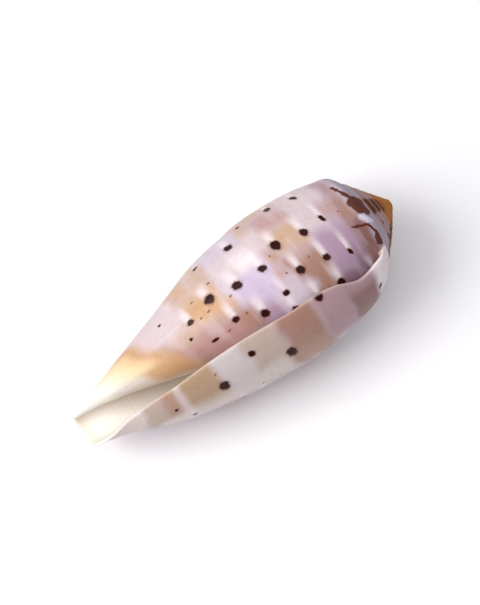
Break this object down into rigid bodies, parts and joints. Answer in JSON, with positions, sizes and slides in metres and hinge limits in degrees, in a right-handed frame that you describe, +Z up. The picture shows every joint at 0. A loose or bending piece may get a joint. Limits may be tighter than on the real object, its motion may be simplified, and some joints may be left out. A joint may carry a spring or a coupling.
{
  "type": "cone sea shell",
  "caption": "Elongated cone-shaped sea shell with a low stepped spire, a long narrow aperture and an open canal end, lying on its side with the aperture up.",
  "frame": {"origin": "centre of the shell's outline seen from above, at the height of the surface it lies on", "axes": "+X along the shell from the canal end to the pointed apex, +Z up, -Y on the side of the outer lip"},
  "size_m": [0.0596, 0.0242, 0.0226],
  "materials": {
    "shell": "glossy"
  },
  "bodies": {
    "root": {"cone_shell": "shell"}
  },
  "joints": []
}
